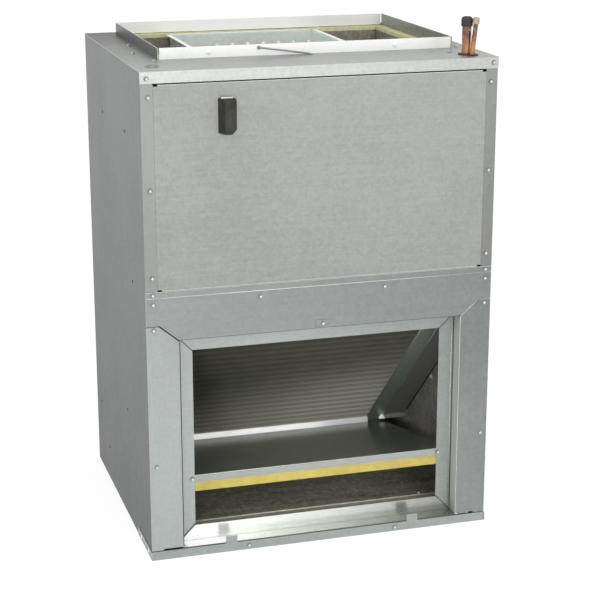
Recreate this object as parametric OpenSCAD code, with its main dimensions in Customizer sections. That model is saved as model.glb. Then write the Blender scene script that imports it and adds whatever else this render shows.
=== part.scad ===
// Upflow air handling unit: a galvanised sheet cabinet with a filter recess and return opening low
// in the front, a slanted cooling coil over a sloping drain pan, and a duct collar on the top.
// Sizes are in millimetres. Every piece is drawn from the front left corner of the base, with X to
// the right, Y to the back and Z up, and is then moved so that the origin is the middle of the base.

/* [Cabinet] */
// Width across the side panels
cab_w = 610; // [560:1:720]
// Depth from the front face to the back face
cab_d = 508; // [490:1:640]
// Height to the top plate
cab_h = 838; // [790:1:960]
// Thickness of the sheet
sheet = 1.2; // [0.8:0.1:1.6]
// Width of the folds at the front and back of a side panel
edge_fold = 20; // [14:1:30]
// Play where one sheet ends beside another
seam = 0.6; // [0.3:0.1:1]

/* [Base] */
// Height of the front base rail
rail_h = 15.5; // [12:0.5:24]
// Length of the base rail's returns along the sides
rail_return = 115; // [60:1:160]
// Width of a filter tab on the base rail
tab_w = 20; // [12:1:30]
// Height of a filter tab above the base rail
tab_h = 13; // [8:1:18]
// Distance of the left tab from the left side
tab_left_x = 130; // [90:1:180]
// Distance of the right tab from the right side
tab_right_x = 128; // [90:1:180]

/* [Return opening] */
// Width of a stile beside the filter recess
stile_w = 55.5; // [45:0.5:70]
// Width of the ring that the filter rests against
ring_w = 27.5; // [18:0.5:35]
// Depth of the filter recess
recess_d = 28; // [20:1:40]
// Height of the sill ledge
sill_z = 17; // [16:0.5:26]
// Height of the recess above the sill
recess_h = 373; // [340:1:390]
// Height of the header face above the recess
header_h = 74.5; // [60:0.5:90]
// Rise of the mitre between header and stile
mitre_rise = 28; // [20:1:40]
// Gap between header and stile along the mitre
mitre_gap = 2; // [0.6:0.1:3]
// Length of the level shoulder at the top of a stile
shoulder_w = 21; // [14:1:30]
// Height of the slit under the inner part of a stile
slit_h = 2.5; // [1:0.1:4]
// Height of the rail between header and access panel
mid_rail_h = 11; // [8:0.5:20]
// Depth of the mid rail's folds
mid_rail_d = 14; // [8:1:24]
// Width of the filter clip on the header
clip_w = 27; // [18:1:40]
// Height of the filter clip
clip_h = 14; // [10:1:20]

/* [Access panel] */
// Width of the level strip down each side of the access panel
strip_w = 20; // [12:1:30]
// Height by which the middle of the panel stands forward
joggle = 0.9; // [0.4:0.1:1.5]
// Depth of the panel's top and bottom folds
panel_fold = 12; // [8:1:20]
// Width of the corner notches
notch_w = 7; // [4:0.5:10]
// Height of the corner notches
notch_h = 3; // [2:0.5:5]
// Gap between the panel and the lip of the top plate
lip_gap = 2; // [0.6:0.1:3]
// Distance of the pull from the left side
pull_x = 126; // [90:1:200]
// Drop of the pull below the lip
pull_drop = 26; // [15:1:60]
// Width of the pull
pull_w = 27; // [24:1:40]
// Height of the pull
pull_h = 57; // [50:1:80]
// Depth of the pull
pull_d = 19; // [12:1:26]
// Wall of the pull
pull_wall = 3; // [2:0.5:4]
// Slant of the pull's left side
pull_slant = 7.5; // [4:0.5:10]
// Chamfer down the pull's right edge
pull_chamfer = 2; // [1:0.5:3]
// Chamfer across the pull's lower right corner
pull_corner = 8; // [5:0.5:10]
// Bevel along the pull's upper edge
pull_bevel = 5; // [3:0.5:7]

/* [Top] */
// Height of the lip along the front of the top plate
lip_h = 19; // [12:1:26]
// Overhang of the top plate beyond each side
top_over = 1; // [0:0.1:2]
// Height of the duct collar above the top plate
collar_h = 19; // [12:1:40]
// Distance of the collar from the left side
collar_left_x = 56; // [40:1:80]
// Distance of the collar from the right side
collar_right_x = 32; // [26:1:60]
// Distance of the collar from the front
collar_front_y = 128; // [110:1:150]
// Distance of the collar from the back
collar_back_y = 11; // [8:1:30]
// Width of the collar's feet under the top plate
collar_foot = 6; // [4:0.5:7]
// Gap between the collar's flanges at a corner
collar_gap = 3; // [1:0.5:5]
// Diameter of the wire stay on the collar
stay_d = 3; // [2:0.5:4]
// Distance of the stay's upper end from the left side
stay_top_x = 229; // [150:1:260]
// Distance of the stay's lower end from the left side
stay_foot_x = 317; // [280:1:400]
// Drop of the stay's upper end below the collar's edge
stay_drop = 5; // [3:1:8]
// Reach of the stay's lower end in front of the collar
stay_reach = 9; // [5:1:20]
// Diameter of the wiring hole in the top plate
wire_hole_d = 9; // [6:0.5:14]
// Distance of the wiring hole from the right side
wire_hole_x = 58; // [50:1:70]
// Distance of the wiring hole from the front
wire_hole_y = 75; // [68:1:90]
// Length of the hanger slot in the top plate
slot_l = 10; // [8:0.5:16]
// Width of the hanger slot
slot_w = 5; // [4:0.5:8]
// Distance of the hanger slot from the right side
slot_x = 87; // [80:1:110]
// Distance of the hanger slot from the front
slot_y = 88; // [70:1:95]

/* [Discharge] */
// Depth of the discharge plenum below the top plate
plenum_h = 130; // [100:1:150]
// Thickness of the plenum's insulation boards
board_t = 25; // [18:1:30]
// Width of board that the top plate covers
board_cover = 7; // [3:1:10]
// Distance of the discharge duct from the left side
duct_x = 152; // [130:1:170]
// Width of the discharge duct
duct_w = 276; // [220:1:300]
// Depth of the discharge duct
duct_d = 296; // [240:1:300]
// Gap between the discharge duct and the boards
duct_gap = 14; // [6:1:20]
// Width of the duct's top folds
duct_fold = 8; // [5:1:12]
// Width of the heater rail
heater_rail_w = 16; // [10:1:24]
// Number of heater bushings
bushings = 7; // [3:1:8]
// Spacing of the heater bushings
bushing_pitch = 28.5; // [20:0.5:29]
// Diameter of a heater bushing
bushing_d = 9; // [6:0.5:12]
// Height of a heater bushing above its rail
bushing_h = 12; // [8:1:20]
// Diameter of a heater bushing's neck
bushing_neck_d = 5.5; // [4:0.5:6]
// Height of a heater bushing below its neck
bushing_base_h = 7; // [4:0.5:8]
// Depth of the bushings' tops below the duct's top
bushing_drop = 0; // [0:1:12]

/* [Blower] */
// Diameter of the blower wheel
wheel_d = 220; // [190:1:230]
// Width of the blower wheel
wheel_w = 200; // [150:1:220]
// Number of blades
blades = 30; // [20:1:40]
// Depth of a blade from the wheel's rim inwards
blade_d = 22; // [16:1:28]
// Thickness of a blade
blade_t = 1.5; // [1:0.1:2]
// Forward slant of a blade
blade_slant = 25; // [10:1:35]
// Width of the wheel's end rings
wheel_ring = 5; // [3:0.5:8]
// Thickness of the wheel's centre plate
wheel_plate = 2.5; // [2:0.5:4]
// Diameter of the wheel's hub
hub_d = 36; // [28:1:44]
// Length of the wheel's hub
hub_l = 28; // [20:1:36]
// Gap between wheel and scroll where the scroll begins
scroll_gap = 10; // [6:1:16]
// Growth of the scroll to its outlet
scroll_growth = 65; // [50:1:75]
// Depth of the wheel's axis below the deck
blower_drop = 140; // [125:1:150]
// Diameter of the air inlets in the cheeks
inlet_d = 180; // [150:1:190]
// Depth of the inlet rings
inlet_ring = 14; // [8:1:20]
// Diameter of the motor
motor_d = 118; // [95:1:130]
// Length of the motor
motor_l = 110; // [90:1:130]
// Length of the motor that stands out of the right cheek
motor_out = 25; // [15:1:40]
// Diameter of the motor's shaft
shaft_d = 12.7; // [10:0.1:16]
// Width of the motor's mounting arms
arm_w = 20; // [14:1:28]
// Thickness of the motor's mounting arms
arm_t = 3; // [2:0.5:5]
// Reach of the mounting arms beyond the inlet
arm_reach = 14; // [8:1:18]

/* [Insulation] */
// Thickness of the wall liners
liner_t = 13; // [8:1:16]
// Thickness of the floor liner
floor_t = 25; // [15:1:30]
// Distance of the floor liner's front edge from the front
floor_front_y = 83; // [60:1:110]

/* [Coil] */
// Tilt of the coil's face from level
coil_tilt = 43; // [38:1:48]
// Distance of the coil's foot from the front
coil_foot_y = 378; // [370:1:400]
// Spacing of the tube rows up the coil's face
row_pitch = 25.4; // [22:0.1:26]
// Number of tube rows up the coil's face
rows = 17; // [14:1:17]
// Thickness of the fin pack
coil_t = 66; // [44:1:80]
// Depth of the ripple in the fins
ripple = 2.4; // [1:0.2:4]
// Distance of the fin pack from each side
coil_side = 93; // [80:1:110]
// Width of the coil's end flanges
end_flange = 33; // [20:1:40]
// Height of the coil's foot above the drain pan
foot_h = 11; // [8:1:20]
// How far the lower edge of the foot's leg stands forward
foot_splay = 4; // [1:0.5:6]
// Width of the fold along the foot of the blank-off plates
blank_fold = 8; // [5:1:12]

/* [Drain pan] */
// Fall of the drain pan towards the back
pan_tilt = 11.6; // [8:0.2:13]
// Height of the drain pan's front edge
pan_z = 136; // [125:1:145]
// Height of the drain pan's front lip
pan_lip = 13; // [8:1:18]
// Distance of the drain pan from each side
pan_side = 60; // [56:1:75]
// Height of the drain pan's upturned back edge
pan_back_h = 30; // [15:1:40]
// Thickness of the insulation under the drain pan
pan_board_t = 28; // [20:1:32]

/* [Refrigerant tubes] */
// Distance of the suction tube from the right side
tube_right_x = 41; // [36:1:60]
// Distance of the suction tube from the front
tube_y = 41; // [36:1:70]
// Outer diameter of the suction tube
suction_d = 15.9; // [12.7:0.1:19.1]
// Outer diameter of the liquid tube
liquid_d = 7.9; // [6.4:0.1:9.6]
// Sideways distance from the suction tube to the liquid tube at the top plate
liquid_shift = 5.5; // [4:0.5:10]
// Lean of the liquid tube to the right, in degrees
liquid_lean = 5.6; // [4:0.2:8]
// Wall of the tubes
tube_wall = 1; // [0.8:0.1:1.5]
// Height of the tubes above the top plate
tube_h = 62; // [40:1:90]
// Length of the tubes below the top plate
tube_tail = 60; // [30:1:90]
// Length of the suction tube's cap
cap_h = 16; // [10:1:24]
// Length of the liquid tube's cap
liquid_cap_h = 11; // [8:1:16]
// Rounding of the caps' tops, as a share of their radius
cap_round = 0.55; // [0.2:0.05:0.9]
// Wall of the caps
cap_wall = 1.8; // [1:0.1:2]
// Wall of the grommet inside its slot
grommet_wall = 2; // [1.5:0.5:3]
// Width of the grommet's flange round the tubes
grommet_rim = 6; // [4:0.5:9]
// Thickness of the grommet's flange
grommet_t = 2; // [1.5:0.5:4]

/* [Hidden] */
$fn = 48;
overlap = 0.5;    // how far a cut runs past a face
recess_top = sill_z + recess_h;
header_top = recess_top + header_h;
shoulder_z = recess_top + mitre_rise;
mid_rail_z = header_top + seam;
panel_z = mid_rail_z + mid_rail_h + seam;
panel_top = cab_h - lip_h - lip_gap;
notch_x = max(strip_w, edge_fold) + seam;
fold_x0 = notch_x + notch_w + seam;
stile_z = rail_h + 2 * seam;
ring_y = recess_d;
ring_back = ring_y + sheet;
collar_x0 = collar_left_x;
collar_x1 = cab_w - collar_right_x;
collar_y0 = collar_front_y;
collar_y1 = cab_d - collar_back_y;
plate_z = cab_h - sheet;
foot_z = plate_z - sheet;
deck_z = cab_h - plenum_h;
board_y1 = cab_d - 2 * sheet - seam;
duct_y1 = board_y1 - board_t - duct_gap;
duct_y0 = duct_y1 - duct_d;
duct_x1 = duct_x + duct_w;
duct_top = foot_z - seam;
board_space = duct_fold + duct_gap + board_t;
board_x0 = min(collar_x0 - board_cover, duct_x - board_space);
board_x1 = max(collar_x1 + board_cover, duct_x1 + board_space);
board_y0 = min(collar_y0 - board_cover, duct_y0 - board_space);
heater_y = duct_y0 + duct_d / 2;
heater_z = duct_top - bushing_drop - bushing_h;
blower_top = deck_z - sheet;
scroll_start = 150;    // angle at which the scroll leaves its outlet, from the back over the top
scroll_step = 14;    // angle between the scroll's folds
scroll_r0 = wheel_d / 2 + scroll_gap;
scroll_r1 = scroll_r0 + scroll_growth;
blower_x = duct_x + duct_w / 2;
blower_y = duct_y1 - scroll_r1;
blower_z = blower_top - blower_drop;
wall_x0 = sheet;
wall_x1 = cab_w - sheet;
wall_y0 = 2 * sheet;
wall_y1 = cab_d - 2 * sheet;
floor_z = sheet;
lined_x0 = wall_x0 + liner_t;
lined_x1 = wall_x1 - liner_t;
coil_len = rows * row_pitch;
coil_x0 = coil_side;
coil_x1 = cab_w - coil_side;
pan_y = ring_back;
pan_floor_z = floor_z + floor_t;
pan_len = (pan_z - pan_floor_z - seam / 2 - (pan_board_t + sheet) * cos(pan_tilt)) / sin(pan_tilt);
coil_foot_z = pan_z - (coil_foot_y - pan_y) * tan(pan_tilt) + foot_h;
suction_x = cab_w - tube_right_x;
liquid_x = suction_x + liquid_shift;
liquid_y = tube_y - (suction_d + liquid_d) / 2 - 2 * seam;
galvanised = [0.72, 0.74, 0.74];
bright_galvanised = [0.82, 0.83, 0.83];
facing = [0.13, 0.13, 0.12];
glass_wool = [0.86, 0.78, 0.28];
copper = [0.76, 0.45, 0.29];
black_plastic = [0.07, 0.07, 0.08];
ceramic = [0.92, 0.89, 0.82];
beige_plastic = [0.85, 0.76, 0.6];
fin_metal = [0.42, 0.4, 0.4];

// Moves a piece from the corner of the base to the middle of the base
module seated() {
    translate([-cab_w / 2, -cab_d / 2, 0]) children();
}

// Mirrors a piece from the left half of the cabinet to the right half
module to_right() {
    translate([cab_w, 0, 0]) mirror([1, 0, 0]) children();
}

// A block between two corners
module block(low, high) {
    translate(low) cube(high - low);
}

// An upright sheet whose outline is given in X and Z, with its front at y
module upright_sheet(y, outline) {
    translate([0, y + sheet, 0]) rotate([90, 0, 0]) linear_extrude(sheet) polygon(outline);
}

// A bar along X whose section is given in Y and Z
module bar_along_x(x0, x1, section) {
    translate([x0, 0, 0]) rotate([90, 0, 90]) linear_extrude(x1 - x0) polygon(section);
}

// Draws in the coil's own frame: X as it is, Y up the face from its foot, Z out of the back
module on_coil() {
    translate([0, coil_foot_y, coil_foot_z]) rotate([180 - coil_tilt, 0, 0]) mirror([0, 0, 1]) children();
}

// A point of the coil's section in Y and Z: so far up the face from its foot, so far into its depth
function coil_point(up, deep) = [
    coil_foot_y - up * cos(coil_tilt) + deep * sin(coil_tilt),
    coil_foot_z + up * sin(coil_tilt) + deep * cos(coil_tilt)
];

// A point of the drain pan's section in Y and Z: so far back along the pan, so far above its floor
function pan_point(back, up) = [
    pan_y + back * cos(pan_tilt) + up * sin(pan_tilt),
    pan_z - back * sin(pan_tilt) + up * cos(pan_tilt)
];

// The point at a height above the pan's floor that lies a given distance behind its front edge
function pan_point_behind(behind, up) = pan_point((behind - up * sin(pan_tilt)) / cos(pan_tilt), up);

// Base and cabinet

module base_pan() {
    color(galvanised) seated() block([wall_x0, wall_y0, 0], [wall_x1, wall_y1, floor_z]);
}

module filter_tab(x) {
    block([x, -sheet, rail_h - overlap], [x + tab_w, 0, rail_h + tab_h]);
}

module front_base_rail() {
    color(galvanised) seated() {
        block([-sheet, -sheet, 0], [cab_w + sheet, 0, rail_h]);
        block([-sheet, -overlap, 0], [0, rail_return, rail_h]);
        block([cab_w, -overlap, 0], [cab_w + sheet, rail_return, rail_h]);
        filter_tab(tab_left_x);
        filter_tab(cab_w - tab_right_x - tab_w);
    }
}

// Section of a side panel seen from above: the wall with a fold at the front and one at the back
module side_panel() {
    linear_extrude(plate_z) {
        translate([0, sheet]) square([sheet, cab_d - 2 * sheet]);
        translate([0, sheet]) square([edge_fold, sheet]);
        translate([0, cab_d - 2 * sheet]) square([edge_fold, sheet]);
    }
}

module left_side_panel() {
    color(galvanised) seated() side_panel();
}

module right_side_panel() {
    color(galvanised) seated() to_right() side_panel();
}

module back_panel() {
    color(galvanised) seated() block([0, cab_d - sheet, 0], [cab_w, cab_d, plate_z]);
}

module top_panel() {
    color(galvanised) seated() {
        difference() {
            block([-top_over, -sheet, plate_z], [cab_w + top_over, cab_d, cab_h]);
            block([collar_x0, collar_y0, plate_z - overlap], [collar_x1, collar_y1, cab_h + overlap]);
            grommet_slot(-sheet - overlap, overlap, grommet_wall);
            translate([cab_w - wire_hole_x, wire_hole_y, plate_z - overlap])
                cylinder(d = wire_hole_d, h = sheet + 2 * overlap);
            translate([cab_w - slot_x - slot_l / 2, slot_y - slot_w / 2, plate_z - overlap])
                cube([slot_l, slot_w, sheet + 2 * overlap]);
        }
        block([-top_over, -sheet, cab_h - lip_h], [cab_w + top_over, 0, plate_z + overlap / 2]);
    }
}

// Front

// Section of the access panel seen from above: the middle stands forward of the side strips
module access_panel_section() {
    polygon([
        [0, 0], [strip_w, 0], [strip_w + joggle, -joggle], [cab_w - strip_w - joggle, -joggle],
        [cab_w - strip_w, 0], [cab_w, 0], [cab_w, sheet], [cab_w - strip_w, sheet],
        [cab_w - strip_w - joggle, sheet - joggle], [strip_w + joggle, sheet - joggle],
        [strip_w, sheet], [0, sheet]
    ]);
}

module access_panel() {
    color(bright_galvanised) seated() {
        difference() {
            translate([0, 0, panel_z]) linear_extrude(plate_z - seam - panel_z) access_panel_section();
            block([strip_w, -notch_h, panel_top], [cab_w - strip_w, notch_h, cab_h]);
            for (x = [notch_x, cab_w - notch_x - notch_w], z = [panel_z - overlap, panel_top - notch_h])
                block([x, -notch_h, z], [x + notch_w, notch_h, z + notch_h + overlap]);
        }
        for (z = [panel_z, panel_top - sheet])
            block([fold_x0, sheet - joggle - overlap / 2, z], [cab_w - fold_x0, panel_fold, z + sheet]);
    }
}

// The pull is a moulded hood with a slanted left side, open below for the fingers
module pull_body(inset) {
    depth = pull_d - inset;
    right = pull_w - inset;
    linear_extrude(pull_h - inset)
        polygon([
            [inset, 0], [inset + pull_slant, -depth], [right - pull_chamfer, -depth],
            [right, pull_chamfer - depth], [right, 0]
        ]);
}

// A square bar along X, turned on its edge to cut a chamfer with legs of the given size
module chamfer_bar(leg, length) {
    rotate([45, 0, 0]) cube([length, sqrt(2) * leg, sqrt(2) * leg], center = true);
}

module panel_pull() {
    color(black_plastic) seated()
        translate([pull_x, -joggle, panel_top - pull_drop - pull_h]) difference() {
            pull_body(0);
            translate([0, overlap, -overlap]) pull_body(pull_wall);
            translate([pull_w, -pull_d / 2, 0]) rotate([0, 0, 90]) chamfer_bar(pull_corner, 2 * pull_d);
            translate([pull_w / 2, -pull_d, pull_h]) chamfer_bar(pull_bevel, 2 * pull_w);
        }
}

module mid_rail() {
    color(galvanised) seated() {
        block([0, 0, mid_rail_z], [cab_w, sheet, mid_rail_z + mid_rail_h]);
        for (z = [mid_rail_z, mid_rail_z + mid_rail_h - sheet])
            block([fold_x0, sheet - overlap, z], [cab_w - fold_x0, mid_rail_d, z + sheet]);
    }
}

module return_header() {
    color(galvanised) seated() {
        upright_sheet(0, [
            [0, header_top], [0, shoulder_z], [shoulder_w, shoulder_z], [stile_w, recess_top],
            [cab_w - stile_w, recess_top], [cab_w - shoulder_w, shoulder_z], [cab_w, shoulder_z],
            [cab_w, header_top]
        ]);
        block([stile_w, sheet - overlap, recess_top], [cab_w - stile_w, ring_back, recess_top + sheet]);
        upright_sheet(ring_y, [
            [stile_w, recess_top + overlap], [stile_w, recess_top], [stile_w + ring_w, recess_top - ring_w],
            [cab_w - stile_w - ring_w, recess_top - ring_w], [cab_w - stile_w, recess_top],
            [cab_w - stile_w, recess_top + overlap]
        ]);
    }
}

module return_stile() {
    step_top = recess_top - mitre_gap;
    step_low = sill_z + seam;
    upright_sheet(0, [
        [0, stile_z], [shoulder_w, stile_z], [shoulder_w, stile_z + slit_h], [stile_w, stile_z + slit_h],
        [stile_w, recess_top - mitre_gap], [shoulder_w, shoulder_z - mitre_gap], [0, shoulder_z - mitre_gap]
    ]);
    block([stile_w - sheet, sheet - overlap, step_low], [stile_w, ring_back, step_top]);
    upright_sheet(ring_y, [
        [stile_w - overlap, step_low], [stile_w, step_low], [stile_w + ring_w, sill_z + ring_w + seam],
        [stile_w + ring_w, step_top - ring_w], [stile_w, step_top], [stile_w - overlap, step_top]
    ]);
}

module return_stile_left() {
    color(galvanised) seated() return_stile();
}

module return_stile_right() {
    color(galvanised) seated() to_right() return_stile();
}

module return_sill() {
    x0 = stile_w + seam;
    x1 = cab_w - x0;
    color(bright_galvanised) seated() {
        block([edge_fold + seam, 0, floor_z + seam], [cab_w - edge_fold - seam, sheet, rail_h]);
        block([x0, 0, rail_h - overlap], [x1, sheet, sill_z]);
        block([x0, 0, sill_z - sheet], [x1, ring_back, sill_z]);
        upright_sheet(ring_y, [
            [stile_w + seam, sill_z - overlap], [stile_w + seam, sill_z],
            [stile_w + ring_w, sill_z + ring_w - seam], [cab_w - stile_w - ring_w, sill_z + ring_w - seam],
            [cab_w - stile_w - seam, sill_z], [cab_w - stile_w - seam, sill_z - overlap]
        ]);
    }
}

module header_clip() {
    color(bright_galvanised) seated()
        translate([(cab_w - clip_w) / 2, -sheet, recess_top + 2 * seam]) cube([clip_w, sheet, clip_h]);
}

// Top and discharge

// A collar flange along X: an upstand at the plate's edge with a foot under the plate
module collar_strip(length) {
    block([0, 0, foot_z], [length, sheet, cab_h + collar_h]);
    block([0, -collar_foot, foot_z], [length, sheet, plate_z]);
}

module collar_front() {
    x0 = collar_x0 + collar_gap;
    color(bright_galvanised) seated()
        translate([x0, collar_y0, 0]) collar_strip(collar_x1 - collar_gap - x0);
}

module collar_back() {
    x0 = collar_x0 + collar_gap;
    color(bright_galvanised) seated()
        translate([x0, collar_y1, 0]) mirror([0, 1, 0]) collar_strip(collar_x1 - collar_gap - x0);
}

module collar_left() {
    y0 = collar_y0 + seam;
    color(galvanised) seated()
        translate([collar_x0, collar_y1 - seam, 0]) rotate([0, 0, -90])
            collar_strip(collar_y1 - seam - y0);
}

module collar_right() {
    y0 = collar_y0 + seam;
    color(galvanised) seated()
        translate([collar_x1, y0, 0]) rotate([0, 0, 90]) collar_strip(collar_y1 - seam - y0);
}

// A stiff wire from the front flange down to the top plate
module collar_stay() {
    high = [stay_top_x, collar_y0 - stay_d / 2, cab_h + collar_h - stay_drop];
    low = [stay_foot_x, collar_y0 - stay_reach, cab_h + stay_d / 2];
    run = low - high;
    color(galvanised) seated()
        translate(high) rotate([0, acos(run[2] / norm(run)), atan2(run[1], run[0])])
            cylinder(d = stay_d, h = norm(run));
}

module plenum_deck() {
    color(galvanised) seated() difference() {
        block([wall_x0, wall_y0, deck_z - sheet], [wall_x1, wall_y1, deck_z]);
        block([duct_x + sheet, duct_y0 + sheet, deck_z - 2 * sheet],
            [duct_x1 - sheet, duct_y1 - sheet, deck_z + sheet]);
    }
}

module plenum_boards() {
    top = foot_z - seam;
    in_x0 = board_x0 + board_t + seam;
    in_x1 = board_x1 - board_t - seam;
    color(glass_wool) seated() {
        block([board_x0, board_y0, deck_z], [board_x0 + board_t, board_y1, top]);
        block([board_x1 - board_t, board_y0, deck_z], [board_x1, board_y1, top]);
        block([in_x0, board_y0, deck_z], [in_x1, board_y0 + board_t, top]);
        block([in_x0, board_y1 - board_t, deck_z], [in_x1, board_y1, top]);
    }
}

// A side plate of the duct with its top folded away from the duct, standing on the deck
module duct_side() {
    block([0, 0, deck_z], [sheet, duct_d, duct_top]);
    block([-duct_fold, 0, duct_top - sheet], [sheet, duct_d, duct_top]);
}

module duct_left() {
    color(galvanised) seated() translate([duct_x, duct_y0, 0]) duct_side();
}

module duct_right() {
    color(galvanised) seated() translate([duct_x1, duct_y0, 0]) mirror([1, 0, 0]) duct_side();
}

// An end plate of the duct, between the side plates
module duct_end() {
    block([sheet, 0, deck_z], [duct_w - sheet, sheet, duct_top]);
    block([sheet, -duct_fold, duct_top - sheet], [duct_w - sheet, sheet, duct_top]);
}

module duct_back() {
    color(bright_galvanised) seated() translate([duct_x, duct_y1, 0]) mirror([0, 1, 0]) duct_end();
}

module duct_front() {
    color(galvanised) seated() translate([duct_x, duct_y0, 0]) duct_end();
}

module heater_rail() {
    color(galvanised) seated()
        block([duct_x + sheet, heater_y - heater_rail_w / 2, heater_z - sheet],
            [duct_x1 - sheet, heater_y + heater_rail_w / 2, heater_z]);
}

module heater_bushings() {
    first = blower_x - (bushings - 1) * bushing_pitch / 2;
    color(ceramic) seated()
        for (i = [0:bushings - 1])
            translate([first + i * bushing_pitch, heater_y, heater_z]) {
                cylinder(d = bushing_d, h = bushing_base_h);
                cylinder(d = bushing_neck_d, h = bushing_h);
            }
}

// Blower

// The scroll in Y and Z, a given distance inside its outer face: a spiral round the wheel that
// opens at both ends to the duct
function scroll_line(inside) = concat(
    [[duct_y0 + inside, blower_top]],
    [for (i = [0:ceil((360 - scroll_start) / scroll_step)])
        let (
            a = min(scroll_start + i * scroll_step, 360),
            r = scroll_r0 + scroll_growth * (a - scroll_start) / (360 - scroll_start) - inside
        )
        [blower_y + r * cos(a), blower_z + r * sin(a)]],
    [[duct_y1 - inside, blower_top]]
);

// Turns what is drawn along Z to lie along X, on the wheel's axis
module on_axis(x) {
    translate([x, blower_y, blower_z]) rotate([90, 0, 90]) children();
}

module blower_scroll() {
    inner = scroll_line(sheet);
    color(galvanised) seated()
        bar_along_x(duct_x + sheet, duct_x1 - sheet,
            concat(scroll_line(0), [for (i = [len(inner) - 1:-1:0]) inner[i]]));
}

// A cheek of the blower: a plate that closes the scroll's side, with a short ring round its inlet
module blower_cheek() {
    difference() {
        union() {
            bar_along_x(duct_x, duct_x + sheet, scroll_line(0));
            on_axis(duct_x + sheet / 2) cylinder(d = inlet_d + 2 * sheet, h = inlet_ring);
        }
        on_axis(duct_x - overlap) cylinder(d = inlet_d, h = inlet_ring + 2 * sheet);
    }
}

module blower_cheek_left() {
    color(galvanised) seated() blower_cheek();
}

module blower_cheek_right() {
    color(galvanised) seated() translate([2 * blower_x, 0, 0]) mirror([1, 0, 0]) blower_cheek();
}

// The wheel: slanted blades between two end rings, and a centre plate with a hub
module blower_wheel() {
    inner_r = wheel_d / 2 - blade_d;
    blade_l = wheel_w - wheel_ring;
    color(galvanised) seated() on_axis(blower_x) {
        for (i = [0:blades - 1])
            rotate([0, 0, i * 360 / blades]) translate([inner_r + blade_t, 0, -blade_l / 2])
                rotate([0, 0, blade_slant]) cube([blade_d - 2 * blade_t, blade_t, blade_l]);
        for (z = [-wheel_w / 2, wheel_w / 2 - wheel_ring])
            translate([0, 0, z]) difference() {
                cylinder(d = wheel_d, h = wheel_ring);
                translate([0, 0, -overlap]) cylinder(r = inner_r, h = wheel_ring + 2 * overlap);
            }
        difference() {
            union() {
                translate([0, 0, -wheel_plate / 2]) cylinder(r = inner_r + blade_d / 2, h = wheel_plate);
                translate([0, 0, -hub_l / 2]) cylinder(d = hub_d, h = hub_l);
            }
            translate([0, 0, -hub_l]) cylinder(d = shaft_d + seam, h = 2 * hub_l);
        }
    }
}

// The motor lies in the right inlet, on three arms that rest on the cheek
module blower_motor() {
    motor_x = duct_x1 + motor_out - motor_l;
    color(black_plastic) seated() {
        on_axis(motor_x) cylinder(d = motor_d, h = motor_l);
        on_axis(blower_x - hub_l / 2) cylinder(d = shaft_d, h = motor_x - blower_x + hub_l / 2 + overlap);
        on_axis(duct_x1)
            for (a = [90, 210, 330])
                rotate([0, 0, a]) translate([motor_d / 2 - arm_t, -arm_w / 2, 0])
                    cube([inlet_d / 2 + arm_reach - motor_d / 2 + arm_t, arm_w, arm_t]);
    }
}

// Insulation

module side_liner() {
    block([wall_x0, wall_y0, pan_floor_z], [lined_x0, wall_y1 - liner_t, deck_z - sheet]);
}

module liner_left() {
    color(facing) seated() side_liner();
}

module liner_right() {
    color(facing) seated() to_right() side_liner();
}

module liner_back() {
    color(facing) seated()
        block([wall_x0, wall_y1 - liner_t, pan_floor_z], [wall_x1, wall_y1, deck_z - sheet]);
}

module floor_liner() {
    color(facing) seated()
        block([wall_x0, floor_front_y, floor_z], [wall_x1, wall_y1, pan_floor_z]);
}

// Coil and drain pan

// Section of the fin pack, up its face and through its depth, with a ripple at every tube row
module fin_section() {
    face = [for (i = [0:2 * rows]) [i * row_pitch / 2, i % 2 == 0 ? 0 : ripple]];
    back = [for (i = [2 * rows:-1:0]) [i * row_pitch / 2, coil_t - (i % 2 == 0 ? 0 : ripple)]];
    polygon(concat(face, back));
}

module coil_fin_pack() {
    color(fin_metal) seated()
        on_coil() translate([coil_x0, 0, 0]) rotate([90, 0, 90])
            linear_extrude(coil_x1 - coil_x0) fin_section();
}

// An end plate of the coil, with a flange that runs down to the drain pan
module coil_end_plate() {
    low = seam - foot_h / (sin(coil_tilt) - cos(coil_tilt) * tan(pan_tilt));
    on_coil() {
        block([coil_x0 - sheet, 0, 0], [coil_x0, coil_len, coil_t]);
        block([coil_x0 - end_flange, low, 0], [coil_x0 - sheet / 2, coil_len, sheet]);
    }
}

module coil_end_plate_left() {
    color(galvanised) seated() coil_end_plate();
}

module coil_end_plate_right() {
    color(galvanised) seated() to_right() coil_end_plate();
}

// Carries the coil on the drain pan: a leaning leg in front and a plate under the coil's lower end
module coil_foot_channel() {
    leg_y = coil_foot_y - foot_splay;
    leg_z = coil_foot_z - foot_h + foot_splay * tan(pan_tilt) + seam / 2;
    bend = sheet * (1 - cos(coil_tilt)) / sin(coil_tilt);
    color(bright_galvanised) seated()
        bar_along_x(coil_x0, coil_x1, [
            [leg_y, leg_z], [leg_y + sheet, leg_z], coil_point(-sheet, bend),
            coil_point(-sheet, coil_t), coil_point(0, coil_t), coil_point(0, 0)
        ]);
}

// Closes the space over the coil: a plate on the coil's upper end and a level leg to the header
module coil_top_baffle() {
    top = coil_len + sheet;
    end_z = coil_point(top, 0)[1];
    leg_z = max(recess_top + sheet, end_z + sheet);
    low = (leg_z - end_z) / cos(coil_tilt);
    high = low + sheet / cos(coil_tilt);
    depth = max(coil_t, high + sheet);
    color(galvanised) seated()
        bar_along_x(coil_x0 - end_flange, coil_x1 + end_flange, [
            coil_point(coil_len, 0), coil_point(coil_len, depth), coil_point(top, depth),
            coil_point(top, high), [sheet, leg_z + sheet], [sheet, leg_z], coil_point(top, low),
            coil_point(top, 0)
        ]);
}

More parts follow.
